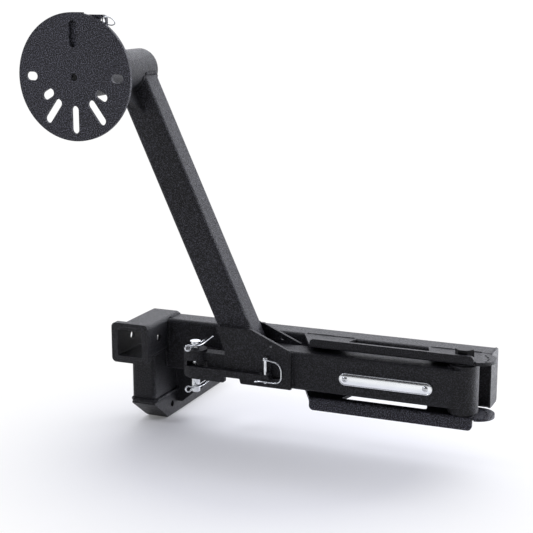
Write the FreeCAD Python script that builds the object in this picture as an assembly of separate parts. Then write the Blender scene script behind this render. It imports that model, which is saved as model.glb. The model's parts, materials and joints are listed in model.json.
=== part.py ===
import FreeCAD, Part
import math
import os

# Swing-away spare tire carrier for a two inch hitch receiver.
# Millimetres.  +X runs along the cross tube towards the hinge, +Y points to the
# towing vehicle, +Z is up.  The origin is the centre of the hitch pin hole in the shank.

os.makedirs("parts", exist_ok=True)

V = FreeCAD.Vector
X_AXIS = V(1, 0, 0)
Y_AXIS = V(0, 1, 0)
Z_AXIS = V(0, 0, 1)

# ---- driving dimensions ----------------------------------------------------

PIN_HOLE_R = 8.15                 # clearance hole for a 5/8 inch hitch pin
BACK_Y = -110.0                   # common back plane of the welded frame
MOUTH_Y = -262.4                  # mouth of the extra receiver

SHANK_SIZE = 50.8
SHANK_WALL = 6.35
SHANK_END_Y = 110.0
SHANK_CROSS_HOLE_Y = -137.4
NOSE_TOP_Z = 18.65                # where the mitred nose starts, at the front
NOSE_BOTTOM_Y = -150.4            # where the mitred nose ends, underneath
NOSE_PLATE_T = 4.8

DROP_WIDTH = 50.8
DROP_DEPTH = 101.6

RECEIVER_SIZE = 63.5
RECEIVER_OPENING = 51.6
RECEIVER_Z = 154.65
RECEIVER_PIN_Y = -202.4
COLLAR_SIZE = 78.0
COLLAR_LENGTH = 12.7

CROSS_DEPTH = 50.8
CROSS_HEIGHT = 101.6
CROSS_Z = 131.85
CROSS_END_X = 673.5
CROSS_WALL = 4.76
CAP_T = 3.0

PLATE_T = 6.35                    # all the laser cut plates

ARM_DEPTH = 50.8
ARM_HEIGHT = 72.0
ARM_Y = -210.4
ARM_Z = CROSS_Z
ARM_LEFT_X = 222.0
ARM_RIGHT_X = 624.0
ARM_WALL = 4.76

PIVOT_X = 637.0
PIVOT_Y = -202.0
BOLT_R = 9.525
BOLT_FLATS = 30.2
BOLT_HEAD_HEIGHT = 14.8
LOCK_NUT_HEIGHT = 14.0
BARREL_R = 27.0
BARREL_BORE_R = 15.9
BUSH_BORE_R = 9.575
BUSH_LENGTH = 28.0
THRUST_T = 3.0
RUNNING_GAP = 0.3

LIP_FRONT_Y = -225.4
LIP_LEFT_X = 353.0
LIP_RIGHT_X = 659.3
UPPER_LIP_TOP_Z = 193.4
LOWER_LIP_BOTTOM_Z = 57.4
EAR_X = 660.0
EAR_Y = -191.0
EAR_R = 31.5
MARKER_ARC_R = 42.0

LATCH_X = 124.0
LATCH_Y = -230.4
LATCH_PIN_R = 7.95
HUB_R = 22.2
LUG_Z = (122.2, 131.7)
KNUCKLE_Z = (132.2, 151.6)
LEVER_Z = (97.5, 121.2)
LATCH_PIN_Z = (66.0, 162.0)
UPPER_CLIP_Z = 156.7
LOWER_CLIP_Z = 76.7
CLIP_WIRE_R = 1.6

LEVER_FRONT_Y = -252.2
LEVER_BACK_Y = -242.7
LEVER_STEP_X = 193.0
LEVER_TIP_X = 284.0
LEVER_NARROW_BOTTOM_Z = 108.6
SNAP_X = 275.0
SNAP_Y = -247.4
SNAP_R = 3.15
SNAP_TIP_Z = 104.6
SNAP_HEAD_Z = (149.0, 155.0)
BAIL_R = 1.25
BAIL_Y = -254.0
BAIL_Z = 152.0

SPACER_X = -9.0
SPACER_Z = 670.25
SPACER_R = 38.1
SPACER_WALL = 6.35
SPACER_BACK_Y = -181.6
POST_LEAN = math.radians(24.66)
POST_WIDTH = 63.5

DISC_R = 110.2
DISC_FRONT_Y = -421.0
DISC_BACK_Y = DISC_FRONT_Y + PLATE_T
CENTRE_HOLE_R = 6.6
SLOT_R = 7.5

BADGE_X = (416.0, 590.0)
BADGE_Z = (117.3, 140.3)
BADGE_T = 3.0
BADGE_SCREW_X = (427.0, 577.0)
BADGE_SCREW_R = 3.0

# ---- positions that follow from them ---------------------------------------

CROSS_TOP_Z = CROSS_Z + CROSS_HEIGHT / 2
CROSS_BOTTOM_Z = CROSS_Z - CROSS_HEIGHT / 2
CROSS_FRONT_Y = BACK_Y - CROSS_DEPTH
RECEIVER_BOTTOM_Z = RECEIVER_Z - RECEIVER_SIZE / 2
SHANK_TOP_Z = SHANK_SIZE / 2
DROP_FRONT_Y = BACK_Y - DROP_DEPTH
ARM_FRONT_Y = ARM_Y - ARM_DEPTH / 2
ARM_BACK_Y = ARM_Y + ARM_DEPTH / 2
ARM_TOP_Z = ARM_Z + ARM_HEIGHT / 2
ARM_BOTTOM_Z = ARM_Z - ARM_HEIGHT / 2
LEAN_DOWN = V(math.sin(POST_LEAN), 0, -math.cos(POST_LEAN))


# ---- small helpers ---------------------------------------------------------

def box(x0, x1, y0, y1, z0, z1):
    return Part.makeBox(x1 - x0, y1 - y0, z1 - z0, V(x0, y0, z0))


def cylinder(radius, start, end):
    axis = end - start
    return Part.makeCylinder(radius, axis.Length, start, axis)


def upright(radius, x, y, z0, z1):
    return cylinder(radius, V(x, y, z0), V(x, y, z1))


def ring(outer, inner, start, end):
    return cylinder(outer, start, end).cut(cylinder(inner, start, end))


def plate_xz(points, y0, y1):
    """A flat plate with its outline in X and Z, from y0 back to y1."""
    outline = Part.makePolygon([V(x, y0, z) for x, z in points + points[:1]])
    return Part.Face(outline).extrude(V(0, y1 - y0, 0))


def plate_xy(points, z0, z1):
    """A flat plate with its outline in X and Y, from z0 up to z1."""
    outline = Part.makePolygon([V(x, y, z0) for x, y in points + points[:1]])
    return Part.Face(outline).extrude(V(0, 0, z1 - z0))


def round_corners(shape, radius, direction, keep):
    """Fillet the straight edges along a direction whose middle point passes the test."""
    edges = []
    for edge in shape.Edges:
        if not isinstance(edge.Curve, Part.Line):
            continue
        ends = [vertex.Point for vertex in edge.Vertexes]
        along = (ends[1] - ends[0]).normalize()
        middle = (ends[0] + ends[1]) * 0.5
        if abs(along.dot(direction)) > 0.999 and keep(middle):
            edges.append(edge)
    return shape.makeFillet(radius, edges)


def bar(size_a, size_b, radius, length):
    """A solid bar along +Z with a rounded rectangular section centred on the axis."""
    block = box(-size_a / 2, size_a / 2, -size_b / 2, size_b / 2, 0, length)
    return round_corners(block, radius, Z_AXIS, lambda p: True)


def tube(size_a, size_b, wall, radius, length):
    """A rectangular tube along +Z with rounded corners."""
    outer = bar(size_a, size_b, radius, length)
    inner = bar(size_a - 2 * wall, size_b - 2 * wall, max(radius - wall, 1.2), length)
    return outer.cut(inner)


def lay(shape, along, start):
    """Turn a +Z shape so that it runs along X or Y and starts at a point.

    size_a then lies across (Y for a bar along X, X for a bar along Y) and size_b upright."""
    if along == "X":
        turn = FreeCAD.Rotation(Y_AXIS, Z_AXIS, X_AXIS, "ZXY")
    else:
        turn = FreeCAD.Rotation(X_AXIS, Z_AXIS * -1, Y_AXIS, "ZXY")
    shape.Placement = FreeCAD.Placement(start, turn)
    return shape


def hexagon(across_flats, x, y, z0, z1):
    corner = across_flats / math.sqrt(3)
    points = []
    for i in range(6):
        angle = math.radians(60 * i)
        points.append((x + corner * math.cos(angle), y + corner * math.sin(angle)))
    return plate_xy(points, z0, z1)


def bevelled_hexagon(across_flats, x, y, z0, z1, bevel_top, bevel_bottom):
    """A hexagon whose corners are turned off to a cone at one or both ends."""
    corner = across_flats / math.sqrt(3)
    rise = 2.2
    height = z1 - z0
    body = hexagon(across_flats, x, y, z0, z1)
    if bevel_top:
        grow = (height - rise) / rise * 2.4
        cone = Part.makeCone(corner + 0.2 + grow, corner - 2.2, height, V(x, y, z0), Z_AXIS)
        body = body.common(cone)
    if bevel_bottom:
        grow = (height - rise) / rise * 2.4
        cone = Part.makeCone(corner - 2.2, corner + 0.2 + grow, height, V(x, y, z0), Z_AXIS)
        body = body.common(cone)
    return body


def wire(points, radius):
    """A round wire following straight runs with rounded bends."""
    path = Part.makePolygon(points)
    shape = None
    for i in range(len(points) - 1):
        run = cylinder(radius, points[i], points[i + 1])
        shape = run if shape is None else shape.fuse(run)
        if i > 0:
            shape = shape.fuse(Part.makeSphere(radius, points[i]))
    for end in (path.Vertexes[0].Point, path.Vertexes[-1].Point):
        shape = shape.fuse(Part.makeSphere(radius, end))
    return shape.removeSplitter()


def arc_points(centre, radius, first, last, steps, axis_a, axis_b):
    points = []
    for i in range(steps + 1):
        angle = math.radians(first + (last - first) * i / steps)
        points.append(centre + axis_a * (radius * math.cos(angle)) + axis_b * (radius * math.sin(angle)))
    return points


def stadium(x, z, half_length, radius, angle, y0, y1):
    """A round-ended slot cutter lying in the XZ plane and turned by an angle."""
    along = V(math.cos(math.radians(angle)), 0, math.sin(math.radians(angle)))
    across = V(-along.z, 0, along.x)
    middle = V(x, y0, z)
    corners = []
    for a, b in ((1, 1), (-1, 1), (-1, -1), (1, -1)):
        corners.append(middle + along * (a * half_length) + across * (b * radius))
    slab = Part.Face(Part.makePolygon(corners + corners[:1])).extrude(V(0, y1 - y0, 0))
    for sign in (1, -1):
        start = middle + along * (sign * half_length)
        slab = slab.fuse(cylinder(radius, start, start + V(0, y1 - y0, 0)))
    return slab.removeSplitter()


PARTS = {}

# ---- the welded frame ------------------------------------------------------

# Shank: goes into the vehicle's hitch; its front end is cut on a slope.
shank_length = SHANK_END_Y - DROP_FRONT_Y
nose_run = V(0, NOSE_BOTTOM_Y - DROP_FRONT_Y, -SHANK_SIZE / 2 - NOSE_TOP_Z)
nose_out = V(0, nose_run.z, -nose_run.y).normalize()


def behind_nose(depth):
    """A big block on the tube's side of the slope, set back by a depth."""
    start = V(0, DROP_FRONT_Y, NOSE_TOP_Z) - nose_out * depth
    block = Part.makeBox(200, 700, 400, V(-100, -350, -400))
    turn = FreeCAD.Rotation(X_AXIS, V(nose_run), nose_out, "ZXY")
    block.Placement = FreeCAD.Placement(start, turn)
    return block


shank = lay(tube(SHANK_SIZE, SHANK_SIZE, SHANK_WALL, 6.5, shank_length), "Y", V(0, DROP_FRONT_Y, 0))
shank = shank.common(behind_nose(NOSE_PLATE_T))
shank = shank.cut(cylinder(PIN_HOLE_R, V(-40, 0, 0), V(40, 0, 0)))
shank = shank.cut(cylinder(6.5, V(-40, SHANK_CROSS_HOLE_Y, 0), V(40, SHANK_CROSS_HOLE_Y, 0)))
PARTS["shank_tube"] = shank

nose = lay(bar(SHANK_SIZE, SHANK_SIZE, 6.5, shank_length), "Y", V(0, DROP_FRONT_Y, 0))
PARTS["shank_nose_plate"] = nose.common(behind_nose(0)).cut(behind_nose(NOSE_PLATE_T))

# Drop tube: joins the shank to the receiver above it.
drop = tube(DROP_WIDTH, DROP_DEPTH, 6.35, 8.0, RECEIVER_BOTTOM_Z - SHANK_TOP_Z)
drop.Placement = FreeCAD.Placement(V(0, BACK_Y - DROP_DEPTH / 2, SHANK_TOP_Z), FreeCAD.Rotation())
PARTS["drop_tube"] = drop

# Extra receiver with its reinforcing collar.
receiver_wall = (RECEIVER_SIZE - RECEIVER_OPENING) / 2
receiver = lay(
    tube(RECEIVER_SIZE, RECEIVER_SIZE, receiver_wall, 7.5, BACK_Y - MOUTH_Y),
    "Y", V(0, MOUTH_Y, RECEIVER_Z))
receiver = receiver.cut(
    cylinder(PIN_HOLE_R, V(-50, RECEIVER_PIN_Y, RECEIVER_Z), V(50, RECEIVER_PIN_Y, RECEIVER_Z)))
PARTS["receiver_tube"] = receiver

collar = lay(bar(COLLAR_SIZE, COLLAR_SIZE, 9.0, COLLAR_LENGTH), "Y", V(0, MOUTH_Y, RECEIVER_Z))
collar_hole = lay(bar(RECEIVER_SIZE, RECEIVER_SIZE, 7.5, COLLAR_LENGTH), "Y", V(0, MOUTH_Y, RECEIVER_Z))
PARTS["receiver_collar"] = collar.cut(collar_hole)

# Cross tube: its left end is notched to sit against the drop tube and the receiver.
cross_left_x = DROP_WIDTH / 2
cross = lay(
    tube(CROSS_DEPTH, CROSS_HEIGHT, CROSS_WALL, 7.0, CROSS_END_X - cross_left_x),
    "X", V(cross_left_x, BACK_Y - CROSS_DEPTH / 2, CROSS_Z))
cross = cross.cut(box(
    0, RECEIVER_SIZE / 2, CROSS_FRONT_Y - 5, BACK_Y + 5, RECEIVER_BOTTOM_Z, CROSS_TOP_Z + 5))
PARTS["cross_tube"] = cross

PARTS["cross_tube_end_cap"] = lay(
    bar(CROSS_DEPTH, CROSS_HEIGHT, 7.0, CAP_T),
    "X", V(CROSS_END_X, BACK_Y - CROSS_DEPTH / 2, CROSS_Z))

# Rear gusset between the drop tube and the underside of the cross tube.
gusset_left_x = DROP_WIDTH / 2
PARTS["rear_frame_gusset"] = plate_xz(
    [(gusset_left_x, CROSS_BOTTOM_Z), (gusset_left_x + 100, CROSS_BOTTOM_Z),
     (gusset_left_x + 100, CROSS_BOTTOM_Z - 6), (gusset_left_x + 12, 0), (gusset_left_x, 0)],
    BACK_Y - PLATE_T, BACK_Y)


# ---- hinge plates ----------------------------------------------------------

def hinge_plate(z0, lip_z0, lip_z1, window_y, back_edge):
    """One hinge plate with its window, rounded ear, folded front lip and marker holes.

    window_y is the window's front edge. back_edge lists the outline's points behind the ear,
    from right to left."""
    z1 = z0 + PLATE_T
    flat = plate_xy(
        [(LIP_LEFT_X, LIP_FRONT_Y), (LIP_RIGHT_X, LIP_FRONT_Y), (EAR_X, LIP_FRONT_Y + 2), (EAR_X, EAR_Y)]
        + back_edge + [(LIP_LEFT_X - 34, CROSS_FRONT_Y)],
        z0, z1)
    ear = upright(EAR_R, EAR_X, EAR_Y, z0, z1)
    lip = box(LIP_LEFT_X, LIP_RIGHT_X, LIP_FRONT_Y, LIP_FRONT_Y + PLATE_T, lip_z0, lip_z1)
    far_z = lip_z1 if lip_z1 > z1 else lip_z0
    lip = round_corners(lip, 8.0, Y_AXIS, lambda p: abs(p.z - far_z) < 0.01)
    relief = box(LIP_RIGHT_X, LIP_RIGHT_X + 2.5, LIP_FRONT_Y - 1, LIP_FRONT_Y + 9, z0, z1)
    plate = flat.fuse(ear).fuse(lip).removeSplitter().cut(relief)
    bend_z = z0 if far_z > z1 else z1
    plate = round_corners(
        plate, 5.0, X_AXIS,
        lambda p: abs(p.y - LIP_FRONT_Y) < 0.01 and abs(p.z - bend_z) < 0.01
        and LIP_LEFT_X < p.x < LIP_RIGHT_X)
    window = plate_xy(
        [(409, window_y), (572.5, window_y), (560, CROSS_FRONT_Y), (560, CROSS_FRONT_Y + 12),
         (420, CROSS_FRONT_Y + 12), (420, CROSS_FRONT_Y)], z0, z1)
    window = round_corners(window, 5.0, Z_AXIS, lambda p: p.y < -190)
    plate = plate.cut(window)
    plate = plate.cut(upright(BOLT_R + 0.2, PIVOT_X, PIVOT_Y, z0, z1))
    for angle in (-13, 0.5, 14, 27.5, 41):
        x = PIVOT_X + MARKER_ARC_R * math.cos(math.radians(angle))
        y = PIVOT_Y + MARKER_ARC_R * math.sin(math.radians(angle))
        plate = plate.cut(upright(2.7, x, y, z0, z1))
    return plate


# The upper plate lies flush with the top of the cross tube and is coped to its rounded edge.
# The lower plate lies under the cross tube.
UPPER_PLATE_Z = CROSS_TOP_Z - PLATE_T
LOWER_PLATE_Z = CROSS_BOTTOM_Z - PLATE_T
cross_section = lay(
    bar(CROSS_DEPTH, CROSS_HEIGHT, 7.0, CROSS_END_X), "X", V(0, BACK_Y - CROSS_DEPTH / 2, CROSS_Z))
coped_y = CROSS_FRONT_Y + 5
PARTS["upper_hinge_plate"] = hinge_plate(
    UPPER_PLATE_Z, UPPER_PLATE_Z, UPPER_LIP_TOP_Z, -198,
    [(EAR_X, coped_y), (LIP_LEFT_X - 34, coped_y)]).cut(cross_section)
under_y = BACK_Y - 12
PARTS["lower_hinge_plate"] = hinge_plate(
    LOWER_PLATE_Z, LOWER_LIP_BOTTOM_Z, CROSS_BOTTOM_Z, -207,
    [(EAR_X - 8, CROSS_FRONT_Y + 4), (EAR_X - 20, under_y), (LIP_LEFT_X - 34, under_y)])

# Hinge bolt, its washers and lock nut, and the thrust washers the arm turns between.
washer_t = 3.0
head_z = UPPER_PLATE_Z + PLATE_T + washer_t
nut_z = LOWER_PLATE_Z - washer_t
bolt = upright(BOLT_R, PIVOT_X, PIVOT_Y, nut_z - LOCK_NUT_HEIGHT - 1.5, head_z)
bolt = bolt.fuse(bevelled_hexagon(
    BOLT_FLATS, PIVOT_X, PIVOT_Y, head_z, head_z + BOLT_HEAD_HEIGHT, True, False))
PARTS["hinge_bolt"] = bolt.removeSplitter()
nut = bevelled_hexagon(BOLT_FLATS, PIVOT_X, PIVOT_Y, nut_z - LOCK_NUT_HEIGHT, nut_z, False, True)
PARTS["hinge_lock_nut"] = nut.cut(upright(BOLT_R, PIVOT_X, PIVOT_Y, nut_z - 20, nut_z + 1))


def washer_pair(outer, inner, first_z, second_z, thickness):
    rings = []
    for z in (first_z, second_z):
        rings.append(ring(outer, inner, V(PIVOT_X, PIVOT_Y, z), V(PIVOT_X, PIVOT_Y, z + thickness)))
    return Part.makeCompound(rings)


PARTS["hinge_bolt_washers"] = washer_pair(16.6, BOLT_R + 0.2, nut_z, head_z - washer_t, washer_t)
PARTS["thrust_washers"] = washer_pair(
    23.0, BOLT_R + 0.2, CROSS_BOTTOM_Z, UPPER_PLATE_Z - THRUST_T, THRUST_T)

# Catch lug on the cross tube: the latch pin seats in its open slot.
slot_mouth_y = LATCH_Y - HUB_R
lug = box(LATCH_X - 21.9, LATCH_X + 21.9, LATCH_Y, CROSS_FRONT_Y, *LUG_Z)
lug = lug.fuse(upright(21.9, LATCH_X, LATCH_Y, *LUG_Z)).removeSplitter()
catch_slot = plate_xy(
    [(LATCH_X - 8.4, LATCH_Y), (LATCH_X - 8.8, slot_mouth_y - 1), (LATCH_X + 12.5, slot_mouth_y - 1),
     (LATCH_X + 8.4, LATCH_Y)], *LUG_Z)
catch_slot = catch_slot.fuse(upright(8.4, LATCH_X, LATCH_Y, *LUG_Z))
PARTS["catch_lug"] = lug.cut(catch_slot)

# ---- the swing arm ---------------------------------------------------------

arm = lay(
    tube(ARM_DEPTH, ARM_HEIGHT, ARM_WALL, 6.0, ARM_RIGHT_X - ARM_LEFT_X),
    "X", V(ARM_LEFT_X, ARM_Y, ARM_Z))
arm = arm.cut(upright(BARREL_R, PIVOT_X, PIVOT_Y, ARM_BOTTOM_Z - 5, ARM_TOP_Z + 5))
badge_mid_z = sum(BADGE_Z) / 2
for screw_x in BADGE_SCREW_X:
    arm = arm.cut(cylinder(
        BADGE_SCREW_R, V(screw_x, ARM_FRONT_Y - 5, badge_mid_z), V(screw_x, ARM_Y, badge_mid_z)))
PARTS["swing_arm_tube"] = arm

barrel_z0 = CROSS_BOTTOM_Z + THRUST_T + RUNNING_GAP
barrel_z1 = UPPER_PLATE_Z - THRUST_T - RUNNING_GAP
PARTS["hinge_barrel"] = ring(
    BARREL_R, BARREL_BORE_R, V(PIVOT_X, PIVOT_Y, barrel_z0), V(PIVOT_X, PIVOT_Y, barrel_z1))

bushes = []
for z in (barrel_z0, barrel_z1 - BUSH_LENGTH):
    bushes.append(ring(
        BARREL_BORE_R, BUSH_BORE_R, V(PIVOT_X, PIVOT_Y, z), V(PIVOT_X, PIVOT_Y, z + BUSH_LENGTH)))
PARTS["hinge_bushes"] = Part.makeCompound(bushes)

# Side plates that tie the post, the arm and the latch tongue together.
plate_top_z = RECEIVER_Z + 47.5
side_outline = [
    (174, plate_top_z), (245, plate_top_z), (256, plate_top_z - 5), (320, 169.7), (323, 165),
    (323, ARM_BOTTOM_Z), (222, ARM_BOTTOM_Z), (219, LEVER_NARROW_BOTTOM_Z), (190, LEVER_NARROW_BOTTOM_Z),
    (190, 155), (181, 180), (174, 195)]


def side_plate(y0, y1):
    plate = plate_xz(side_outline, y0, y1)
    plate = round_corners(plate, 5.0, Y_AXIS, lambda p: p.x < 215 and p.z > plate_top_z - 10)
    plate = round_corners(plate, 4.0, Y_AXIS, lambda p: p.x < 224 and p.z < ARM_BOTTOM_Z + 1)
    return plate.cut(cylinder(3.2, V(283, y0 - 1, 175.6), V(283, y1 + 1, 175.6)))


front_plate = side_plate(ARM_FRONT_Y - PLATE_T, ARM_FRONT_Y)
finger_window = box(LEVER_TIP_X, 309, ARM_FRONT_Y - PLATE_T - 1, ARM_FRONT_Y + 1, 113.5, 143.5)
finger_window = round_corners(finger_window, 12.0, Y_AXIS, lambda p: p.x > 300)
finger_window = round_corners(finger_window, 3.0, Y_AXIS, lambda p: p.x < LEVER_TIP_X + 1)
PARTS["front_side_plate"] = front_plate.cut(finger_window)
PARTS["rear_side_plate"] = side_plate(ARM_BACK_Y, ARM_BACK_Y + PLATE_T)

# Latch tongue and knuckle at the arm's free end.
tongue = box(LATCH_X, ARM_LEFT_X, ARM_FRONT_Y, ARM_FRONT_Y + 25.4, KNUCKLE_Z[0], 146.6)
tongue = tongue.fuse(box(151, ARM_LEFT_X, ARM_FRONT_Y, ARM_FRONT_Y + 25.4, 119.6, KNUCKLE_Z[0]))
tongue = tongue.removeSplitter().cut(upright(HUB_R, LATCH_X, LATCH_Y, 100, 170))
PARTS["latch_tongue"] = tongue
knuckle = ring(
    HUB_R, LATCH_PIN_R + 0.05, V(LATCH_X, LATCH_Y, KNUCKLE_Z[0]), V(LATCH_X, LATCH_Y, KNUCKLE_Z[1]))
PARTS["latch_knuckle"] = knuckle

# Latch pin: headed at the top, drilled across for a clip near each end.
pin = upright(LATCH_PIN_R, LATCH_X, LATCH_Y, *LATCH_PIN_Z)
pin = pin.makeChamfer(1.6, [edge for edge in pin.Edges if edge.CenterOfMass.z < LATCH_PIN_Z[0] + 0.1])
head = upright(10.5, LATCH_X, LATCH_Y, LATCH_PIN_Z[1], LATCH_PIN_Z[1] + 4.5)
head = head.makeFillet(1.5, [edge for edge in head.Edges if edge.CenterOfMass.z > LATCH_PIN_Z[1] + 4])
pin = pin.fuse(head).removeSplitter()
for z in (UPPER_CLIP_Z, LOWER_CLIP_Z):
    pin = pin.cut(cylinder(CLIP_WIRE_R + 0.05, V(LATCH_X, LATCH_Y - 20, z), V(LATCH_X, LATCH_Y + 20, z)))
PARTS["latch_pin"] = pin


def hairpin_clip(z):
    """A hairpin clip: a straight leg through the pin, an upright eye and a sprung outer leg."""
    eye = V(LATCH_X - 3.5, LATCH_Y - 25.1, z + 0.6)
    loop = arc_points(eye, 5.0, 180, 480, 12, V(-0.8, -0.6, 0), Z_AXIS)
    leg = [V(LATCH_X, LATCH_Y + 48, z), V(LATCH_X, LATCH_Y - 19, z)]
    spring = [
        V(LATCH_X + 5.5, LATCH_Y - 16, z + 4.4), V(LATCH_X + 10.6, LATCH_Y - 7, z + 1.4),
        V(LATCH_X + 10.8, LATCH_Y + 9, z + 0.9), V(LATCH_X + 12.9, LATCH_Y + 20, z + 2.9),
        V(LATCH_X + 19, LATCH_Y + 40, z + 9.6)]
    return wire(leg + loop + spring, CLIP_WIRE_R)


PARTS["upper_hairpin_clip"] = hairpin_clip(UPPER_CLIP_Z)
PARTS["lower_hairpin_clip"] = hairpin_clip(LOWER_CLIP_Z)

# Latch lever: turns on the latch pin and lies along the front side plate.
hub = upright(HUB_R, LATCH_X, LATCH_Y, *LEVER_Z)
hub = hub.makeFillet(6.0, [edge for edge in hub.Edges if edge.CenterOfMass.z < LEVER_Z[0] + 0.1])
lever_bar = plate_xz(
    [(LATCH_X, LEVER_Z[0]), (LEVER_STEP_X, LEVER_Z[0]), (LEVER_STEP_X, LEVER_NARROW_BOTTOM_Z),
     (LEVER_TIP_X, LEVER_NARROW_BOTTOM_Z), (LEVER_TIP_X, LEVER_Z[1]), (LATCH_X, LEVER_Z[1])],
    LEVER_FRONT_Y, LEVER_BACK_Y)
lever_bar = round_corners(lever_bar, 5.5, Y_AXIS, lambda p: p.x > LEVER_TIP_X - 1)
lever_bar = round_corners(
    lever_bar, 3.0, Y_AXIS, lambda p: abs(p.x - LEVER_STEP_X) < 1 and p.z < LEVER_Z[0] + 1)
lever = hub.fuse(lever_bar).removeSplitter()
lever = lever.cut(upright(LATCH_PIN_R + 0.05, LATCH_X, LATCH_Y, LEVER_Z[0] - 1, LEVER_Z[1] + 1))
lever = lever.cut(upright(SNAP_R + 0.05, SNAP_X, SNAP_Y, LEVER_Z[0], LEVER_Z[1] + 1))
PARTS["latch_lever"] = lever

# Keeper ear above the lever's end, with a slot open to the front for the snap pin.
plate_front_y = ARM_FRONT_Y - PLATE_T
keeper = box(
    SNAP_X - 11, LEVER_TIP_X, LEVER_FRONT_Y + 1, plate_front_y, LEVER_Z[1] + 0.6, LEVER_Z[1] + 5.4)
keeper = round_corners(keeper, 4.0, Z_AXIS, lambda p: p.y < LEVER_FRONT_Y + 2)
keeper_slot = plate_xy(
    [(SNAP_X - 3.6, SNAP_Y), (SNAP_X - 6.0, LEVER_FRONT_Y - 1), (SNAP_X + 4.2, LEVER_FRONT_Y - 1),
     (SNAP_X + 3.6, SNAP_Y)], LEVER_Z[1], LEVER_Z[1] + 6)
keeper_slot = keeper_slot.fuse(upright(3.6, SNAP_X, SNAP_Y, LEVER_Z[1], LEVER_Z[1] + 6))
PARTS["lever_keeper"] = keeper.cut(keeper_slot)

# Snap pin that locks the lever, and its wire bail.
snap = upright(SNAP_R, SNAP_X, SNAP_Y, SNAP_TIP_Z, SNAP_HEAD_Z[0])
snap = snap.makeChamfer(1.0, [edge for edge in snap.Edges if edge.CenterOfMass.z < SNAP_TIP_Z + 0.1])
snap_head = upright(4.9, SNAP_X, SNAP_Y, *SNAP_HEAD_Z)
snap = snap.fuse(snap_head).removeSplitter()
snap = snap.makeFillet(1.2, [edge for edge in snap.Edges if edge.CenterOfMass.z > SNAP_HEAD_Z[1] - 0.1])
snap = snap.cut(cylinder(BAIL_R + 0.05, V(SNAP_X, SNAP_Y - 10, BAIL_Z), V(SNAP_X, SNAP_Y + 3, BAIL_Z)))
PARTS["lever_snap_pin"] = snap

bail_points = [V(SNAP_X, SNAP_Y + 1, BAIL_Z), V(SNAP_X, BAIL_Y, BAIL_Z), V(SNAP_X + 14, BAIL_Y, BAIL_Z - 2)]
bail_points += arc_points(V(SNAP_X + 16, BAIL_Y, BAIL_Z - 20), 18, 72, 0, 5, X_AXIS, Z_AXIS)
bail_points += arc_points(V(SNAP_X + 22, BAIL_Y, 121.6), 12, 0, -84, 5, X_AXIS, Z_AXIS)
bail_points += [V(SNAP_X, BAIL_Y, 109.4), V(SNAP_X - 8, BAIL_Y, 109.8), V(SNAP_X - 20, BAIL_Y, 107.2)]
PARTS["lever_snap_bail"] = wire(bail_points, BAIL_R)

# ---- the post, spacer and wheel plate --------------------------------------

post_length = (SPACER_Z - ARM_TOP_Z) / math.cos(POST_LEAN) + 30
post = tube(POST_WIDTH, ARM_DEPTH, ARM_WALL, 7.0, post_length)
post.Placement = FreeCAD.Placement(
    V(SPACER_X, ARM_Y, SPACER_Z), FreeCAD.Rotation(Y_AXIS, math.degrees(math.pi - POST_LEAN)))
post = post.cut(box(-100, 400, ARM_FRONT_Y - 5, ARM_BACK_Y + 5, -100, ARM_TOP_Z))
post = post.cut(cylinder(SPACER_R, V(SPACER_X, -400, SPACER_Z), V(SPACER_X, 0, SPACER_Z)))
PARTS["post_tube"] = post

PARTS["spacer_tube"] = ring(
    SPACER_R, SPACER_R - SPACER_WALL,
    V(SPACER_X, DISC_BACK_Y, SPACER_Z), V(SPACER_X, SPACER_BACK_Y, SPACER_Z))

rib_centre = V(SPACER_X, 0, SPACER_Z)
rib_side = V(math.cos(POST_LEAN), 0, math.sin(POST_LEAN)) * (PLATE_T / 2)
rib_points = []
for down, y in ((30, ARM_FRONT_Y), (84, ARM_FRONT_Y), (80, ARM_FRONT_Y - 8), (40, ARM_FRONT_Y - 62),
                (30, ARM_FRONT_Y - 62)):
    rib_points.append(rib_centre + LEAN_DOWN * down + V(0, y, 0) - rib_side)
rib = Part.Face(Part.makePolygon(rib_points + rib_points[:1])).extrude(rib_side * 2)
PARTS["post_rib"] = rib.cut(cylinder(SPACER_R, V(SPACER_X, -400, SPACER_Z), V(SPACER_X, 0, SPACER_Z)))

disc = cylinder(DISC_R, V(SPACER_X, DISC_FRONT_Y, SPACER_Z), V(SPACER_X, DISC_BACK_Y, SPACER_Z))
top_tab = box(
    SPACER_X, SPACER_X + 20, DISC_FRONT_Y, DISC_BACK_Y, SPACER_Z + 90, SPACER_Z + DISC_R)
disc = disc.fuse(top_tab).removeSplitter()
disc = disc.cut(cylinder(CENTRE_HOLE_R, V(SPACER_X, -430, SPACER_Z), V(SPACER_X, -400, SPACER_Z)))
# Round-ended slots: angle, inner and outer bolt radius.
disc_slots = [(90, 58.5, 89.5), (270, 56.5, 89.8), (0, 80.5, 89), (180, 80.5, 89),
              (234, 56.5, 90.5), (306, 56.5, 90.5), (210, 56, 66), (330, 56, 66)]
for angle, inner, outer in disc_slots:
    reach = (inner + outer) / 2
    x = SPACER_X + reach * math.cos(math.radians(angle))
    z = SPACER_Z + reach * math.sin(math.radians(angle))
    disc = disc.cut(stadium(x, z, (outer - inner) / 2, SLOT_R, angle, DISC_FRONT_Y - 1, DISC_BACK_Y + 1))
PARTS["wheel_disc"] = disc

TETHER_HOLE_X = 45.8
TETHER_HOLE_Z = RECEIVER_Z + 611.5
TETHER_HOLE_R = 5.8
tab = box(-26, 53.6, DISC_BACK_Y, DISC_BACK_Y + PLATE_T, SPACER_Z + 44, RECEIVER_Z + 622)
tab = round_corners(tab, 8.0, Y_AXIS, lambda p: p.x > 0 and p.z > SPACER_Z + 80)
tab = tab.cut(cylinder(
    TETHER_HOLE_R, V(TETHER_HOLE_X, -430, TETHER_HOLE_Z), V(TETHER_HOLE_X, -400, TETHER_HOLE_Z)))
PARTS["accessory_plate"] = tab

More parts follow.
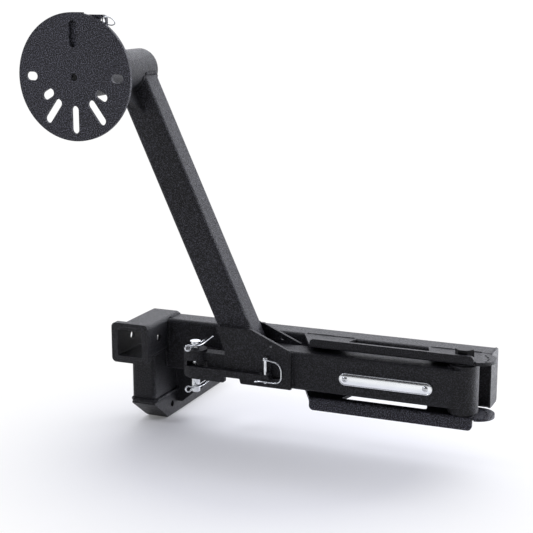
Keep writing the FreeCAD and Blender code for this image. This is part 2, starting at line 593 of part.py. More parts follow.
# Tether ring hanging through the corner hole of that plate.
tether = Part.makeTorus(11.0, 1.3)
tilt = FreeCAD.Rotation(X_AXIS, -40)
tether.Placement = FreeCAD.Placement(
    V(TETHER_HOLE_X + 11, DISC_BACK_Y + PLATE_T / 2, TETHER_HOLE_Z), tilt)
PARTS["tether_ring"] = tether

# Plain badge bar and its two screws.
badge_r = (BADGE_Z[1] - BADGE_Z[0]) / 2
badge_mid_x = sum(BADGE_X) / 2
badge = stadium(badge_mid_x, badge_mid_z, badge_mid_x - BADGE_X[0] - badge_r, badge_r, 0,
                ARM_FRONT_Y - BADGE_T, ARM_FRONT_Y)
screws = []
for screw_x in BADGE_SCREW_X:
    start = V(screw_x, ARM_FRONT_Y - BADGE_T - 2, badge_mid_z)
    shaft = cylinder(BADGE_SCREW_R, start, V(screw_x, ARM_FRONT_Y + 10, badge_mid_z))
    dome = Part.makeSphere(7.0, V(screw_x, ARM_FRONT_Y - BADGE_T + 4.4, badge_mid_z))
    dome = dome.common(box(screw_x - 9, screw_x + 9, ARM_FRONT_Y - BADGE_T - 9, ARM_FRONT_Y - BADGE_T,
                           badge_mid_z - 9, badge_mid_z + 9))
    badge = badge.cut(cylinder(BADGE_SCREW_R, start, V(screw_x, ARM_FRONT_Y + 1, badge_mid_z)))
    socket = box(screw_x - 1.6, screw_x + 1.6, ARM_FRONT_Y - BADGE_T - 9, ARM_FRONT_Y - BADGE_T - 0.6,
                 badge_mid_z - 1.6, badge_mid_z + 1.6)
    screws.append(dome.fuse(shaft).removeSplitter().cut(socket))
PARTS["badge_bar"] = badge
PARTS["badge_screws"] = Part.makeCompound(screws)

for name, shape in PARTS.items():
    shape.exportStep("parts/" + name + ".step")
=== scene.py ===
import json
import math

import bpy
import numpy as np
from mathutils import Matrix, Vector


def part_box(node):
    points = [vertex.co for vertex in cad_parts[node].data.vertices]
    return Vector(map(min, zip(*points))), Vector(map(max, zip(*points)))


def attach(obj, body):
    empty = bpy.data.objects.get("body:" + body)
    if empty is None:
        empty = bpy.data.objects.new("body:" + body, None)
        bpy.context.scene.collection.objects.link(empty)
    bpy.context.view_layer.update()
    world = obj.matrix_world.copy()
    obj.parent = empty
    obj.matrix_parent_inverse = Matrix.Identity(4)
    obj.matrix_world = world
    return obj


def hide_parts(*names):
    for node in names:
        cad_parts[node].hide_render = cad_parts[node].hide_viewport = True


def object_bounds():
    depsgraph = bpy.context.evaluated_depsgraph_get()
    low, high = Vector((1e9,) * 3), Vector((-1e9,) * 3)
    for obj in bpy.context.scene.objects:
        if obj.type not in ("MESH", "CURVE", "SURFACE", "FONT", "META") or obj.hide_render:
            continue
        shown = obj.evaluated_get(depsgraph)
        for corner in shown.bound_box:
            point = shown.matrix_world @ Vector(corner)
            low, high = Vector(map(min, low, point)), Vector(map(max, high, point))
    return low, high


# Looks of the swing-away spare tire carrier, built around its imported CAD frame.
# Metres, in the CAD's own axes: +X towards the hinge, +Y towards the vehicle, +Z up.

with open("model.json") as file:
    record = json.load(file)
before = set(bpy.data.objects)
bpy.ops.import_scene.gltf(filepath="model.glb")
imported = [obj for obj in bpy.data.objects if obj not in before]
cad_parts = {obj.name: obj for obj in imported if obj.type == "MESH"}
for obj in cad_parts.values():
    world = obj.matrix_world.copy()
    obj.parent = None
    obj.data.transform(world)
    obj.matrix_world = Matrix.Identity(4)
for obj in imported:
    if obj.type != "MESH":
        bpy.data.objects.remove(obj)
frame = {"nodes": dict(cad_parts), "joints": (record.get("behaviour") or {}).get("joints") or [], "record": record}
cad_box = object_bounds()

MM = 0.001
FLOOR_Z = cad_box[0][2] - 0.2 * MM      # a hair below the shank, so the two never share a face
PAPER_GLOW = 1.02                       # just past white, for the background and the far floor
X, Y, Z = (1, 0, 0), (0, 1, 0), (0, 0, 1)


class Box:
    """The faces of a CAD node's box at rest, in millimetres."""

    def __init__(self, node):
        low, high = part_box(node)
        self.left, self.front, self.bottom = (value / MM for value in low)
        self.right, self.back, self.top = (value / MM for value in high)


def joint_place(name):
    """The point that a joint turns about, in millimetres."""
    place = next(joint["pos_m"] for joint in frame["joints"] if joint["name"] == name)
    return np.array(place) / MM


# ---- camera and light ------------------------------------------------------------

camera_data = bpy.data.cameras.new("camera")
camera_data.sensor_width = 36.0
camera_data.lens = 88.63
camera_data.clip_start = 0.05
camera_data.clip_end = 60.0
camera = bpy.data.objects.new("camera", camera_data)
camera.location = (1.17838, -2.38775, 0.83915)
camera.rotation_euler = (math.radians(77.55), 0.0, math.radians(22.83))
bpy.context.scene.collection.objects.link(camera)
bpy.context.scene.camera = camera

bpy.context.scene.view_settings.view_transform = "Standard"
bpy.context.scene.view_settings.look = "None"


def area_light(name, place, target, size, power):
    """A rectangular, slightly cool soft light at a place, aimed at a target."""
    data = bpy.data.lights.new(name, "AREA")
    data.shape = "RECTANGLE"
    data.size, data.size_y = size
    data.energy = power
    data.color = (0.90, 0.92, 1.0)
    light = bpy.data.objects.new(name, data)
    light.location = place
    light.rotation_euler = (Vector(target) - Vector(place)).to_track_quat("-Z", "Y").to_euler()
    bpy.context.scene.collection.objects.link(light)


area_light("light_above", (0.45, 1.9, 1.9), (0.3, -0.15, 0.15), (3.2, 1.6), 28.0)
area_light("light_right", (2.4, 1.3, 0.55), (0.4, -0.2, 0.2), (1.5, 1.2), 22.0)
area_light("light_low", (1.15, 0.6, 0.14), (0.68, -0.13, 0.12), (0.6, 0.5), 9.0)
area_light("light_disc", (-0.95, -1.5, 1.7), (-0.05, -0.42, 0.7), (0.5, 0.5), 11.0)


def make_world():
    """White behind the object, dimmer on the camera's side so that front faces stay dark."""
    world = bpy.data.worlds.new("studio")
    world.use_nodes = True
    tree = world.node_tree
    tree.nodes.clear()
    link = tree.links.new
    output = tree.nodes.new("ShaderNodeOutputWorld")
    coords = tree.nodes.new("ShaderNodeTexCoord")
    split = tree.nodes.new("ShaderNodeSeparateXYZ")
    ramp = tree.nodes.new("ShaderNodeMapRange")
    for socket, number in (("From Min", -0.6), ("From Max", 0.8), ("To Min", 0.05), ("To Max", 1.8)):
        ramp.inputs[socket].default_value = number
    lit = tree.nodes.new("ShaderNodeBackground")
    lit.inputs["Color"].default_value = (0.94, 0.945, 1.0, 1.0)
    seen = tree.nodes.new("ShaderNodeBackground")
    seen.inputs["Color"].default_value = (1.0, 1.0, 1.0, 1.0)
    seen.inputs["Strength"].default_value = PAPER_GLOW
    path = tree.nodes.new("ShaderNodeLightPath")
    mix = tree.nodes.new("ShaderNodeMixShader")
    link(coords.outputs["Generated"], split.inputs[0])
    link(split.outputs["Y"], ramp.inputs["Value"])
    link(ramp.outputs["Result"], lit.inputs["Strength"])
    link(path.outputs["Is Camera Ray"], mix.inputs["Fac"])
    link(lit.outputs[0], mix.inputs[1])
    link(seen.outputs[0], mix.inputs[2])
    link(mix.outputs[0], output.inputs["Surface"])
    bpy.context.scene.world = world


make_world()


# ---- materials -----------------------------------------------------------------

class Nodes:
    """Builds one material's node tree with short calls."""

    def __init__(self, name):
        self.material = bpy.data.materials.new(name)
        self.material.use_nodes = True
        self.tree = self.material.node_tree
        self.shader = self.tree.nodes["Principled BSDF"]
        self.coords = self.add("ShaderNodeTexCoord").outputs["Object"]
        self.true_normal = self.add("ShaderNodeNewGeometry").outputs["Normal"]

    def add(self, kind):
        return self.tree.nodes.new(kind)

    def link(self, source, target):
        self.tree.links.new(source, target)

    def set(self, **values):
        for key, value in values.items():
            self.shader.inputs[key.replace("_", " ")].default_value = value

    def noise(self, scale, detail=3.0, roughness=0.55, stretch=None):
        node = self.add("ShaderNodeTexNoise")
        node.inputs["Scale"].default_value = scale
        node.inputs["Detail"].default_value = detail
        node.inputs["Roughness"].default_value = roughness
        source = self.coords
        if stretch:
            mapping = self.add("ShaderNodeMapping")
            mapping.inputs["Scale"].default_value = stretch
            self.link(source, mapping.inputs["Vector"])
            source = mapping.outputs["Vector"]
        self.link(source, node.inputs["Vector"])
        return node.outputs["Fac"]

    def cells(self, scale):
        node = self.add("ShaderNodeTexVoronoi")
        node.feature = "SMOOTH_F1"
        node.inputs["Scale"].default_value = scale
        node.inputs["Smoothness"].default_value = 0.7
        self.link(self.coords, node.inputs["Vector"])
        return node.outputs["Distance"]

    def math(self, operation, first, second):
        node = self.add("ShaderNodeMath")
        node.operation = operation
        for socket, value in zip(node.inputs, (first, second)):
            if isinstance(value, (int, float)):
                socket.default_value = value
            else:
                self.link(value, socket)
        return node.outputs[0]

    def remap(self, value, from_low, from_high, to_low, to_high):
        node = self.add("ShaderNodeMapRange")
        for name, number in (("From Min", from_low), ("From Max", from_high),
                             ("To Min", to_low), ("To Max", to_high)):
            node.inputs[name].default_value = number
        self.link(value, node.inputs["Value"])
        return node.outputs["Result"]

    def blend(self, factor, dark, light):
        node = self.add("ShaderNodeMix")
        node.data_type = "RGBA"
        self.link(factor, node.inputs["Factor"])
        for socket, value in ((node.inputs[6], dark), (node.inputs[7], light)):
            if isinstance(value, tuple):
                socket.default_value = (*value, 1.0)
            else:
                self.link(value, socket)
        return node.outputs[2]

    def soft_edges(self, radius):
        node = self.add("ShaderNodeBevel")
        node.samples = 4
        node.inputs["Radius"].default_value = radius
        return node.outputs["Normal"]

    def edge_mask(self, radius, low, high):
        """0 on flat faces and 1 at outer and inner edges."""
        node = self.add("ShaderNodeVectorMath")
        node.operation = "DOT_PRODUCT"
        self.link(self.soft_edges(radius), node.inputs[0])
        self.link(self.true_normal, node.inputs[1])
        return self.remap(node.outputs["Value"], 1.0 - low, 1.0 - high, 0.0, 1.0)

    def bump(self, height, strength, distance, normal):
        node = self.add("ShaderNodeBump")
        node.inputs["Strength"].default_value = strength
        node.inputs["Distance"].default_value = distance
        self.link(height, node.inputs["Height"])
        self.link(normal, node.inputs["Normal"])
        return node.outputs["Normal"]


def powder_coat(name, grain, depth, base, sparkle_tone):
    """Textured black powder coat: pebbled grain, faint mottling, pale specks painted on the crests as a sparkle
    highlight, and paler edges that are partly wear and partly a painted highlight.
    """
    n = Nodes(name)
    pebbles = n.math("ADD", n.noise(grain, 2.0, 0.6), n.math("MULTIPLY", n.cells(grain * 1.4), 0.5))
    mottling = n.remap(n.noise(14.0, 3.0), 0.35, 0.65, 0.0, 1.0)
    colour = n.blend(mottling, (base * 0.7, base * 0.7, base), (base * 1.3, base * 1.3, base * 1.9))
    # Paler specks on the pebble crests: a painted sparkle highlight where light catches the tops of the grain.
    painted_sparkle = n.remap(n.noise(grain * 1.1, 1.0), 0.47, 0.66, 0.0, 1.0)
    colour = n.blend(painted_sparkle, colour, (sparkle_tone, sparkle_tone, sparkle_tone * 1.3))
    # Paler edges in patches: partly wear, partly a painted highlight on the rounded edges.
    patches = n.remap(n.noise(90.0, 4.0), 0.42, 0.62, 0.0, 0.75)
    pale_edges = n.math("MULTIPLY", n.edge_mask(1.2 * MM, 0.04, 0.30), patches)
    colour = n.blend(pale_edges, colour, (0.10, 0.10, 0.11))
    n.link(colour, n.shader.inputs["Base Color"])
    n.link(n.remap(n.noise(grain * 0.5, 2.0), 0.3, 0.7, 0.38, 0.55), n.shader.inputs["Roughness"])
    n.link(n.bump(pebbles, 1.0, depth, n.soft_edges(1.0 * MM)), n.shader.inputs["Normal"])
    n.set(Specular_IOR_Level=0.32)
    return n.material


def plated_steel(name, tint, rough_low, rough_high, streaks, depth):
    """Bright plating: fine drawn streaks, cloudy roughness and a few dull spots."""
    n = Nodes(name)
    clouds = n.remap(n.noise(160.0, 4.0), 0.35, 0.65, 0.0, 1.0)
    dull = tuple(c * 0.72 for c in tint)
    n.link(n.blend(clouds, dull, tint), n.shader.inputs["Base Color"])
    n.link(n.remap(n.noise(320.0, 3.0), 0.3, 0.7, rough_low, rough_high), n.shader.inputs["Roughness"])
    lines = n.noise(260.0, 3.0, 0.6, streaks)
    n.link(n.bump(lines, 0.25, depth, n.soft_edges(0.35 * MM)), n.shader.inputs["Normal"])
    n.set(Metallic=1.0)
    return n.material


def black_oxide(name):
    """Black fasteners: oily dark skin with rubbed corners."""
    n = Nodes(name)
    patches = n.remap(n.noise(90.0, 4.0), 0.35, 0.65, 0.0, 1.0)
    colour = n.blend(patches, (0.006, 0.006, 0.007), (0.014, 0.014, 0.016))
    scuffs = n.remap(n.noise(210.0), 0.4, 0.6, 0.1, 0.8)
    pale_edges = n.math("MULTIPLY", n.edge_mask(0.8 * MM, 0.03, 0.3), scuffs)
    colour = n.blend(pale_edges, colour, (0.16, 0.16, 0.17))
    n.link(colour, n.shader.inputs["Base Color"])
    n.link(n.remap(n.noise(240.0), 0.3, 0.7, 0.26, 0.42), n.shader.inputs["Roughness"])
    n.link(n.bump(n.noise(700.0), 0.35, 0.08 * MM, n.soft_edges(0.7 * MM)), n.shader.inputs["Normal"])
    n.set(Specular_IOR_Level=0.08)
    return n.material


def crowned_chrome(name, bar):
    """Polished bar whose face is slightly crowned across its height."""
    n = Nodes(name)
    split = n.add("ShaderNodeSeparateXYZ")
    n.link(n.coords, split.inputs[0])
    off = n.math("SUBTRACT", split.outputs["Z"], (bar.bottom + 0.30 * (bar.top - bar.bottom)) * MM)
    crown = n.math("MULTIPLY", n.math("MULTIPLY", off, off), -7.5)
    haze = n.remap(n.noise(70.0, 2.0, 0.5, (0.2, 1.0, 1.0)), 0.3, 0.7, 0.0, 1.0)
    n.link(n.blend(haze, (0.78, 0.80, 0.83), (0.88, 0.90, 0.93)), n.shader.inputs["Base Color"])
    n.link(n.remap(n.noise(500.0), 0.3, 0.7, 0.10, 0.15), n.shader.inputs["Roughness"])
    n.link(n.bump(crown, 1.0, 1.0, n.soft_edges(0.4 * MM)), n.shader.inputs["Normal"])
    n.set(Metallic=1.0)
    return n.material


badge = Box("badge_bar")
MATERIALS = {
    "badge_chrome": crowned_chrome("badge_chrome", badge),
    "powder_coat": powder_coat("powder_coat_black", 460.0, 1.6 * MM, 0.002, 0.032),
    # The coarse and post coats are the same black coat with deeper grain and a paler base and paler specks, tuned
    # part by part: painted light.
    "powder_coat_coarse_lit": powder_coat("powder_coat_black_coarse_lit", 460.0, 2.8 * MM, 0.006, 0.13),
    "powder_coat_post_lit": powder_coat("powder_coat_black_post_lit", 460.0, 2.4 * MM, 0.003, 0.058),
    "black_hardware": black_oxide("black_oxide_steel"),
    "zinc_steel": plated_steel("zinc_plate", (0.78, 0.80, 0.83), 0.14, 0.30, (1.0, 1.0, 0.15), 0.05 * MM),
    "chrome": plated_steel("chrome_plate", (0.84, 0.86, 0.89), 0.09, 0.17, (0.05, 1.0, 1.0), 0.006 * MM),
    "bronze": plated_steel("oiled_bronze", (0.60, 0.42, 0.20), 0.28, 0.45, (1.0, 1.0, 0.2), 0.05 * MM),
}
# These parts get the paler copies of the coat, whose lighter tone is painted light.
NODE_FINISH = {
    "wheel_disc": "powder_coat_coarse_lit",
    "accessory_plate": "powder_coat_coarse_lit",
    "lower_hinge_plate": "powder_coat_coarse_lit",
    "post_tube": "powder_coat_post_lit",
    "badge_bar": "badge_chrome",
}

for row in frame["record"]["subparts"]:
    finish = NODE_FINISH.get(row["node"], row["material_slot"])
    for material_slot in frame["nodes"][row["node"]].material_slots:
        material_slot.material = MATERIALS[finish]


# ---- making pieces -----------------------------------------------------------------

def add_piece(name, vertices, faces, flat_ends, finish, body):
    """A smooth-shaded mesh piece on a body; its last flat_ends faces stay flat."""
    mesh = bpy.data.meshes.new(name)
    mesh.from_pydata([tuple(v) for v in vertices], [], faces)
    mesh.polygons.foreach_set("use_smooth", [True] * (len(faces) - flat_ends) + [False] * flat_ends)
    mesh.materials.append(MATERIALS[finish])
    mesh.validate()
    mesh.update()
    piece = bpy.data.objects.new(name, mesh)
    bpy.context.scene.collection.objects.link(piece)
    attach(piece, body)
    return piece


def resample(points, step, closed):
    """Points at an even step along straight runs, as an array."""
    points = np.array(points, float)
    if closed:
        points = np.vstack([points, points[:1]])
    runs = np.linalg.norm(np.diff(points, axis=0), axis=1)
    along = np.concatenate([[0.0], np.cumsum(runs)])
    count = max(8, int(round(along[-1] / step)))
    wanted = np.linspace(0.0, along[-1], count + 1)
    if closed:
        wanted = wanted[:-1]
    return np.stack([np.interp(wanted, along, points[:, i]) for i in range(3)], axis=1), wanted


def sweep(name, centres, radii, closed, sides, finish, body):
    """A smooth closed tube around a line of centres, with its own radius at each."""
    count = len(centres)
    if closed:
        tangents = np.roll(centres, -1, axis=0) - np.roll(centres, 1, axis=0)
    else:
        tangents = np.gradient(centres, axis=0)
    tangents /= np.linalg.norm(tangents, axis=1)[:, None]
    side = np.cross(tangents[0], (0.0, 0.0, 1.0))
    if np.linalg.norm(side) < 0.2:
        side = np.cross(tangents[0], (0.0, 1.0, 0.0))
    vertices = []
    for i in range(count):
        side = side - tangents[i] * side.dot(tangents[i])
        side /= np.linalg.norm(side)
        up = np.cross(tangents[i], side)
        for k in range(sides):
            turn = 2 * math.pi * k / sides
            vertices.append(centres[i] + radii[i] * (side * math.cos(turn) + up * math.sin(turn)))
    faces = []
    for i in range(count if closed else count - 1):
        j = (i + 1) % count
        for k in range(sides):
            m = (k + 1) % sides
            faces.append((i * sides + k, i * sides + m, j * sides + m, j * sides + k))
    if not closed:
        faces.append(tuple(range(sides))[::-1])
        faces.append(tuple((count - 1) * sides + k for k in range(sides)))
    return add_piece(name, vertices, faces, 0, finish, body)


def bead(name, body, points, radius=3.0, closed=False, ripple=3.4):
    """A weld bead along a seam given in millimetres, with its row of overlapping ripples."""
    centres, along = resample(points, ripple / 5, closed)
    phase = 2 * math.pi * along / ripple
    wander = 0.10 * np.sin(along * 0.11 + len(name)) + 0.07 * np.sin(along * 0.37 + 1.3)
    radii = radius * (1.0 + wander + 0.085 * np.cos(phase + 0.7 * np.sin(phase)))
    if not closed:
        ends = np.minimum(along, along[-1] - along) / (radius * 1.2)
        radii = radii * np.sqrt(np.clip(ends, 0.04, 1.0))
    sweep("weld_" + name, centres * MM, radii * MM, closed, 10, "powder_coat", body)


def arc(centre, radius, first, last, steps, axis_a, axis_b):
    """Points round an arc; angles in degrees from axis_a towards axis_b."""
    centre, axis_a, axis_b = (np.array(v, float) for v in (centre, axis_a, axis_b))
    points = []
    for i in range(steps + 1):
        turn = math.radians(first + (last - first) * i / steps)
        points.append(tuple(centre + radius * (math.cos(turn) * axis_a + math.sin(turn) * axis_b)))
    return points


def rounded_loop(low, high, corner, place):
    """A rounded rectangle between two plane points; place turns (a, b) into (x, y, z)."""
    points = []
    for a, b, start in ((high[0] - corner, high[1] - corner, 0), (low[0] + corner, high[1] - corner, 90),
                        (low[0] + corner, low[1] + corner, 180), (high[0] - corner, low[1] + corner, 270)):
        for i in range(5):
            turn = math.radians(start + 22.5 * i)
            points.append(place(a + corner * math.cos(turn), b + corner * math.sin(turn)))
    return points


# ---- welds of the frame: offsets in millimetres from the CAD nodes' faces -----------

collar = Box("receiver_collar")
receiver = Box("receiver_tube")
drop = Box("drop_tube")
cross = Box("cross_tube")
gusset = Box("rear_frame_gusset")
upper = Box("upper_hinge_plate")
lower = Box("lower_hinge_plate")
lug = Box("catch_lug")

bead("receiver_collar", "frame",
     rounded_loop((receiver.left - 0.25, receiver.bottom - 0.3), (receiver.right + 0.25, receiver.top + 0.3),
                  7.5, lambda a, b: (a, collar.back + 0.5, b)), 3.6, True)
bead("receiver_to_drop", "frame",
     rounded_loop((drop.left - 0.2, drop.front - 0.2), (drop.right + 0.2, drop.back + 0.2),
                  8, lambda a, b: (a, b, drop.top - 0.5)), 3.0, True)
foot_z = drop.bottom + 1.0
bead("drop_to_shank", "frame",
     [(drop.left - 0.2, drop.back, foot_z), (drop.left - 0.2, drop.front + 6.6, foot_z),
      (drop.left + 6.4, drop.front - 0.8, foot_z), (drop.right - 6.4, drop.front - 0.8, foot_z),
      (drop.right + 0.2, drop.front + 6.6, foot_z), (drop.right + 0.2, drop.back, foot_z)], 4.2)
bead("cross_front_low", "frame",
     [(cross.left + 1.0, cross.front + 2.8, cross.bottom + 2.95),
      (cross.left + 1.0, cross.front - 0.6, cross.bottom + 10.95),
      (cross.left + 1.0, cross.front - 0.6, receiver.bottom - 1.9)], 4.2)
bead("cross_front_high", "frame",
     [(receiver.right + 1.05, cross.front - 0.6, receiver.bottom - 4.9),
      (receiver.right + 1.05, cross.front - 0.6, cross.top - 6.65),
      (receiver.right + 1.05, cross.front + 4.8, cross.top - 0.25)], 4.2)
bead("cross_top", "frame",
     [(receiver.right + 0.55, cross.front + 5.8, cross.top - 0.25),
      (receiver.right + 0.55, cross.back - 2.0, cross.top - 0.25)], 3.0)
bead("cross_rear", "frame",
     [(receiver.right + 0.55, cross.back - 0.2, cross.top - 4.65),
      (receiver.right + 0.55, cross.back - 0.2, receiver.bottom + 0.1),
      (drop.right + 0.5, cross.back - 0.2, receiver.bottom - 1.9),
      (drop.right + 0.5, cross.back - 0.2, cross.bottom + 0.95)], 3.0)
bead("gusset_drop", "frame",
     [(drop.right + 0.4, gusset.front - 0.25, gusset.bottom + 2.0),
      (drop.right + 0.4, gusset.front - 0.25, gusset.top - 2.05)], 2.6)
bead("gusset_cross", "frame",
     [(gusset.left + 2.6, gusset.front - 0.25, gusset.top - 0.45),
      (gusset.right - 3.4, gusset.front - 0.25, gusset.top - 0.45)], 2.6)
bead("end_cap", "frame",
     rounded_loop((cross.front + 0.2, cross.bottom + 0.25), (cross.back - 0.2, cross.top - 0.25),
                  7, lambda a, b: (cross.right + 0.2, a, b)), 1.5, True, 2.6)


def seam_along_x(name, node, start, end, y, z, radius):
    """A straight weld of the frame along a node, measured from its left face."""
    bead(name, "frame", [(node.left + start, y, z), (node.left + end, y, z)], radius)


# The hinge plates are welded on either side of their windows.
plate_y = cross.front - 0.4
seam_along_x("upper_plate_left", upper, 2, 99, upper.back + 0.8, cross.top - 0.65, 2.1)
seam_along_x("upper_plate_right", upper, 243, 339, upper.back + 0.8, cross.top - 0.65, 2.1)
seam_along_x("upper_plate_under", upper, 3, 99, plate_y, upper.bottom - 0.5, 2.6)
seam_along_x("lower_plate_left", lower, 3, 97, plate_y, lower.top + 0.35, 2.4)
seam_along_x("lower_plate_right", lower, 245, 329, plate_y, lower.top + 0.35, 2.4)
seam_along_x("catch_lug_top", lug, 1.9, 42.9, plate_y, lug.top + 0.5, 2.6)
seam_along_x("catch_lug_under", lug, 1.9, 42.9, plate_y, lug.bottom - 0.5, 2.6)


# ---- welds of the swing arm --------------------------------------------------------

arm = Box("swing_arm_tube")
tongue = Box("latch_tongue")
post = Box("post_tube")
front_plate = Box("front_side_plate")
rear_plate = Box("rear_side_plate")
hinge_x, hinge_y, _ = joint_place("arm_swing")

for label, plate, seam_y, outward in (("side", front_plate, front_plate.back, -1),
                                      ("rear", rear_plate, rear_plate.front, 1)):
    bead(label + "_plate_top", "arm",
         [(plate.left + 2, seam_y + 0.6 * outward, plate.top + 0.45),
          (plate.left + 66, seam_y + 0.6 * outward, plate.top + 0.45)], 2.8)
    bead(label + "_plate_arm", "arm",
         [(plate.right + 0.6, seam_y + 0.4 * outward, arm.bottom + 2.1),
          (plate.right + 0.6, seam_y + 0.4 * outward, arm.top - 0.9)], 2.7)
bead("post_right_foot", "arm",
     [(post.right + 1.61, post.front + 2.8, arm.top + 0.5),
      (post.right + 1.61, post.back - 3.0, arm.top + 0.5)], 3.2)
bead("tongue_arm", "arm",
     [(arm.left, tongue.front + 0.8, tongue.bottom + 0.4),
      (arm.left, tongue.back - 0.6, tongue.bottom - 0.2)], 2.4)
for label, z in (("top", arm.top - 0.5), ("under", arm.bottom + 0.4)):
    bead("barrel_" + label, "arm", arc((hinge_x, hinge_y, z), 27.3, 142, 238, 18, X, Y), 3.0)


def barrel_fillet():
    """The filled and dressed weld between the arm's front wall and the hinge barrel."""
    hinge = np.array((hinge_x, hinge_y))
    blend_ends = [hinge + offset for offset in ((-17, -33.9), (-9, -33.9), (-3, -27.8), (6, -26.4))]
    front = []
    for t in np.linspace(0, 1, 13):
        weights = ((1 - t) ** 3, 3 * t * (1 - t) ** 2, 3 * t * t * (1 - t), t ** 3)
        front.append(sum(w * p for w, p in zip(weights, blend_ends)))
    outline = front + [hinge + offset for offset in ((5, -23.5), (-7, -20), (-16, -28))]
    levels = np.linspace(arm.bottom + 1.2, arm.top - 1.2, 94)
    vertices = []
    for z in levels:
        swell = 0.22 * math.cos(2 * math.pi * z / 3.0) + 0.15 * math.sin(z * 0.21)
        for i, (x, y) in enumerate(outline):
            lift = swell * math.sin(math.pi * i / 12) if i <= 12 else 0.0
            vertices.append((x * MM, (y - lift) * MM, z * MM))
    size = len(outline)
    faces = [(j * size + i, j * size + (i + 1) % size, (j + 1) * size + (i + 1) % size, (j + 1) * size + i)
             for j in range(len(levels) - 1) for i in range(size)]
    faces += [tuple(range(size))[::-1], tuple((len(levels) - 1) * size + i for i in range(size))]
    add_piece("weld_barrel_front", vertices, faces, 2, "powder_coat", "arm")


barrel_fillet()


# ---- welds of the spacer, its rib and the wheel plate ------------------------------

spacer = Box("spacer_tube")
rib = Box("post_rib")
spacer_x = (spacer.left + spacer.right) / 2
spacer_z = (spacer.bottom + spacer.top) / 2
LEAN = math.radians(24.66)
POST_DOWN = (math.sin(LEAN), 0.0, -math.cos(LEAN))
POST_RIGHT = (math.cos(LEAN), 0.0, math.sin(LEAN))

for label, y in (("front", post.front - 0.2), ("rear", post.back + 0.2)):
    bead("post_saddle_" + label, "arm",
         arc((spacer_x, y, spacer_z), 38.6, -52, 52, 20, POST_DOWN, POST_RIGHT), 3.0)
for label, turn in (("left", -57.0), ("right", 57.0)):
    (x, _, z), _ = arc((spacer_x, 0, spacer_z), 38.7, turn, turn, 1, POST_DOWN, POST_RIGHT)
    bead("post_saddle_" + label, "arm", [(x, post.front + 3.8, z), (x, post.back - 4.0, z)], 3.0)
bead("disc_spacer", "arm",
     arc((spacer_x, spacer.front + 0.45, spacer_z), 38.5, 0, 352, 44, X, Z), 3.6, True)


def rib_point(down, y, side):
    """A point on the rib's flank, measured down the post from the spacer's axis."""
    middle = np.array((spacer_x, y, spacer_z)) + np.array(POST_DOWN) * down
    return tuple(middle + np.array(POST_RIGHT) * (3.4 * side))


for label, side in (("left", -1), ("right", 1)):
    bead("rib_spacer_" + label, "arm",
         [rib_point(38.6, rib.back - 2.2, side), rib_point(38.6, rib.front + 1.8, side)], 2.2)
    bead("rib_post_" + label, "arm",
         [rib_point(42, rib.back - 0.4, side), rib_point(82, rib.back - 0.4, side)], 2.2)


# ---- bent wire ---------------------------------------------------------------------

def smooth(points, closed):
    """Three rounds of corner cutting, which leave an open line's ends where they are."""
    points = [np.array(p, float) for p in points]
    for _ in range(3):
        pairs = list(zip(points, points[1:] + points[:1])) if closed else list(zip(points, points[1:]))
        cut = []
        for first, second in pairs:
            cut.extend((first * 0.75 + second * 0.25, first * 0.25 + second * 0.75))
        points = cut if closed else [points[0]] + cut[1:-1] + [points[-1]]
    return points


def bent_wire(name, body, node, points, radius, closed=False):
    """A bent wire that stands for its plainer CAD solid."""
    centres, along = resample(smooth(points, closed), 0.7, closed)
    radii = np.full(len(centres), radius)
    if not closed:
        ends = np.minimum(along, along[-1] - along) / radius
        radii = radius * np.sqrt(np.clip(1.0 - (1.0 - np.clip(ends, 0.05, 1.0)) ** 2, 0.05, 1.0))
    piece = sweep(name, centres * MM, radii * MM, closed, 14, "zinc_steel", body)
    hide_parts(node)


def hairpin(node):
    """The clip's line: straight leg through the pin, upright eye, then the sprung outer leg."""
    pin = joint_place("lever_swing")
    pin[2] = Box(node).top - 11.2
    leg = [pin + (0, y, 0) for y in (48.0, 30.4, 0.4, -15.6)]
    eye = arc(pin + (-3.5, -25.1, 0.6), 5.4, 180, 490, 20, (-0.8, -0.6, 0), Z)
    spring = [pin + offset for offset in ((5.5, -16, 4.4), (10.6, -7, 1.4), (10.8, 9, 0.9),
                                          (12.9, 20, 2.9), (19, 40, 9.6))]
    return leg + eye + spring


for level in ("upper", "lower"):
    clip_node = level + "_hairpin_clip"
    bent_wire(level + "_clip_wire", level + "_clip", clip_node, hairpin(clip_node), 1.6)

eyelet = joint_place("snap_bail_flip")
bail = [eyelet + offset for offset in ((0, 7.6, 0), (0, 4, 0), (0, 0, 0), (5, 0, -0.4), (14, 0, -2))]
bail += arc(eyelet + (16, 0, -20), 18, 72, 0, 8, X, Z) + arc(eyelet + (22, 0, -30.4), 12, 0, -84, 8, X, Z)
bail += [eyelet + offset for offset in ((15, 0, -42.7), (0, 0, -42.6), (-8, 0, -42.2), (-20, 0, -44.8))]
bent_wire("snap_bail_wire", "snap_bail", "lever_snap_bail", bail, 1.25)

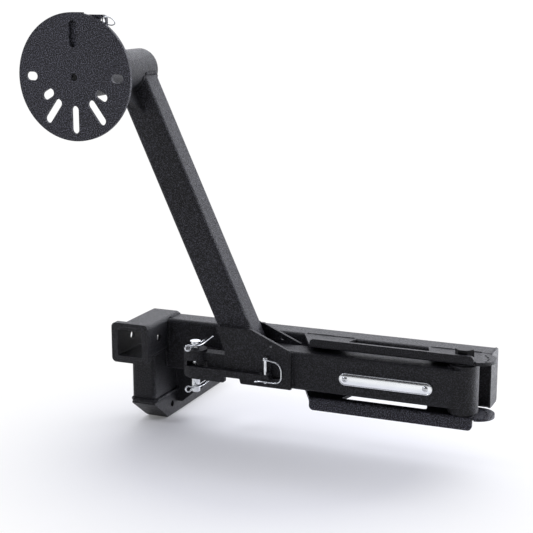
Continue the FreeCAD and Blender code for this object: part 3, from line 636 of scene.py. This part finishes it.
TILT = math.radians(40)
ring_line = arc(joint_place("ring_tilt"), 11.0, 0, 350, 35, X, (0, -math.cos(TILT), math.sin(TILT)))
bent_wire("tether_ring_wire", "ring", "tether_ring", ring_line, 1.1, True)


# ---- badge bar: a plain raised rim ------------------------------------------------

badge_x, badge_z = (badge.left + badge.right) / 2, (badge.bottom + badge.top) / 2
badge_rim = arc((badge_x + 75.5, badge.front, badge_z), 10.3, -90, 90, 16, X, Z)
badge_rim += arc((badge_x - 75.5, badge.front, badge_z), 10.3, 90, 270, 16, X, Z)
rim_centres, _ = resample(badge_rim, 1.5, True)
sweep("badge_rim", rim_centres * MM, np.full(len(rim_centres), 0.55 * MM), True, 10, "chrome", "arm")


# ---- floor ---------------------------------------------------------------------

floor_mesh = bpy.data.meshes.new("floor")
floor_mesh.from_pydata([(-14, -9, FLOOR_Z), (14, -9, FLOOR_Z), (14, 22, FLOOR_Z), (-14, 22, FLOOR_Z)],
                       [], [(0, 1, 2, 3)])
floor = bpy.data.objects.new("floor", floor_mesh)
bpy.context.scene.collection.objects.link(floor)
paper = Nodes("white_paper")
paper.link(paper.blend(paper.noise(3.0), (0.82, 0.82, 0.83), (0.85, 0.85, 0.865)),
           paper.shader.inputs["Base Color"])
paper.set(Roughness=0.9, Specular_IOR_Level=0.1)
reach = paper.add("ShaderNodeVectorMath")
reach.operation = "DISTANCE"
reach.inputs[1].default_value = (0.3, -0.25, FLOOR_Z)
paper.link(paper.coords, reach.inputs[0])
glow = paper.add("ShaderNodeEmission")
glow.inputs["Color"].default_value = (1.0, 1.0, 1.0, 1.0)
glow.inputs["Strength"].default_value = PAPER_GLOW
fade = paper.add("ShaderNodeMixShader")
paper.link(paper.remap(reach.outputs["Value"], 0.26, 0.66, 0.0, 1.0), fade.inputs["Fac"])
paper.link(paper.shader.outputs[0], fade.inputs[1])
paper.link(glow.outputs[0], fade.inputs[2])
paper.link(fade.outputs[0], paper.tree.nodes["Material Output"].inputs["Surface"])
floor_mesh.materials.append(paper.material)
